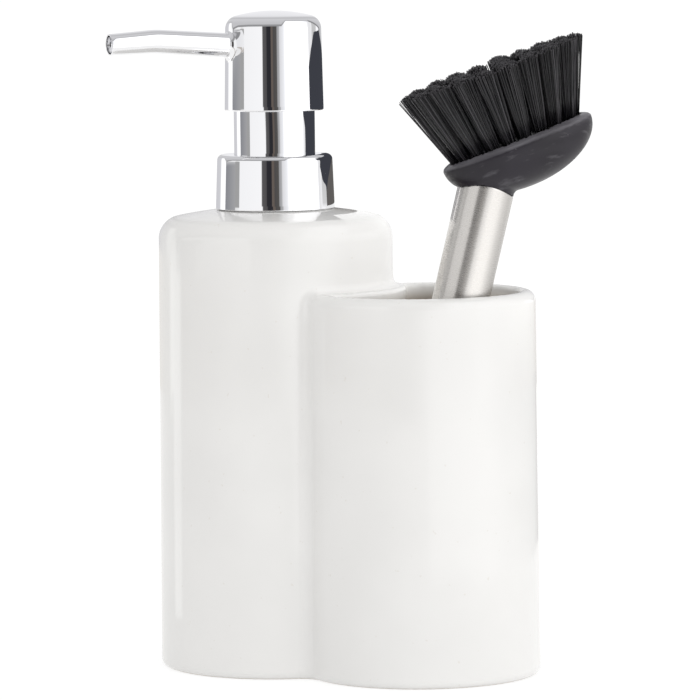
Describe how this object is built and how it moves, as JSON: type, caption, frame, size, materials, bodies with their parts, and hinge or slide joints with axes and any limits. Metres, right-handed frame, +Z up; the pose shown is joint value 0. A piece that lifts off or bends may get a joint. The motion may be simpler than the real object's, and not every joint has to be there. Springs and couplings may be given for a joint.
{
  "type": "soap pump caddy",
  "caption": "Ceramic soap bottle with a lotion pump, joined to a round cup that holds a dish brush with a leaning handle.",
  "frame": {"origin": "on the pump's axis, at the foot of the bottle", "axes": "+X from the pump's axis to the cup's axis, +Z up"},
  "size_m": [0.1479, 0.0836, 0.2109],
  "materials": {
    "glaze": "glossy white glaze",
    "insert_plastic": "moulded white plastic",
    "gasket": "smooth grey elastomer",
    "pump_plastic": "natural white plastic",
    "tube_plastic": "cloudy clear tube",
    "chrome": "bright mirror plating",
    "steel": "drawn stainless steel",
    "brushed_steel": "finely brushed along the tube",
    "soft_rubber": "matte dark rubber",
    "tuft_plastic": "black moulded plastic",
    "bristle_nylon": "black nylon strands"
  },
  "bodies": {
    "caddy": {"ceramic_body": "glaze", "neck_insert": "insert_plastic"},
    "pump": {"neck_gasket": "gasket", "pump_cylinder": "pump_plastic", "lock_ring": "pump_plastic", "dip_tube": "tube_plastic", "valve_cage": "pump_plastic", "return_spring": "steel"},
    "closure": {"threaded_cap": "pump_plastic", "collar_shell": "chrome", "guide_sleeve": "chrome"},
    "piston": {"piston": "pump_plastic", "piston_seal": "gasket"},
    "head": {"stem": "pump_plastic", "head_core": "pump_plastic", "head_shell": "chrome", "nozzle_tube": "chrome"},
    "inlet_ball": {"inlet_ball": "steel"},
    "outlet_ball": {"outlet_ball": "steel"},
    "brush": {"handle_tube": "brushed_steel", "handle_foot": "soft_rubber", "brush_head": "soft_rubber", "tuft_block": "tuft_plastic", "bristles": "bristle_nylon"}
  },
  "joints": [
    {"name": "pump_lift", "type": "slide", "parent": "caddy", "child": "pump", "axis": [0, 0, 1], "range_m": [0, 0.155]},
    {"name": "closure_turn", "type": "hinge", "parent": "pump", "child": "closure", "pos_m": [0, 0, 0.16489], "axis": [0, 0, 1], "continuous": true},
    {"name": "head_press", "type": "slide", "parent": "pump", "child": "piston", "axis": [0, 0, -1], "range_m": [0, 0.013], "stiffness_N_per_m": 800, "springref_m": -0.01, "deforming": ["return_spring"]},
    {"name": "head_swivel", "type": "hinge", "parent": "piston", "child": "head", "pos_m": [0, 0, 0.17989], "axis": [0, 0, 1], "continuous": true},
    {"name": "inlet_valve", "type": "slide", "parent": "pump", "child": "inlet_ball", "axis": [0, 0, 1], "range_m": [0, 0.0014]},
    {"name": "outlet_valve", "type": "slide", "parent": "head", "child": "outlet_ball", "axis": [0, 0, 1], "range_m": [0, 0.0014]},
    {"name": "brush_lift", "type": "slide", "parent": "caddy", "child": "brush", "axis": [0.2119, 0.0939, 0.9728], "range_m": [0, 0.14]}
  ]
}
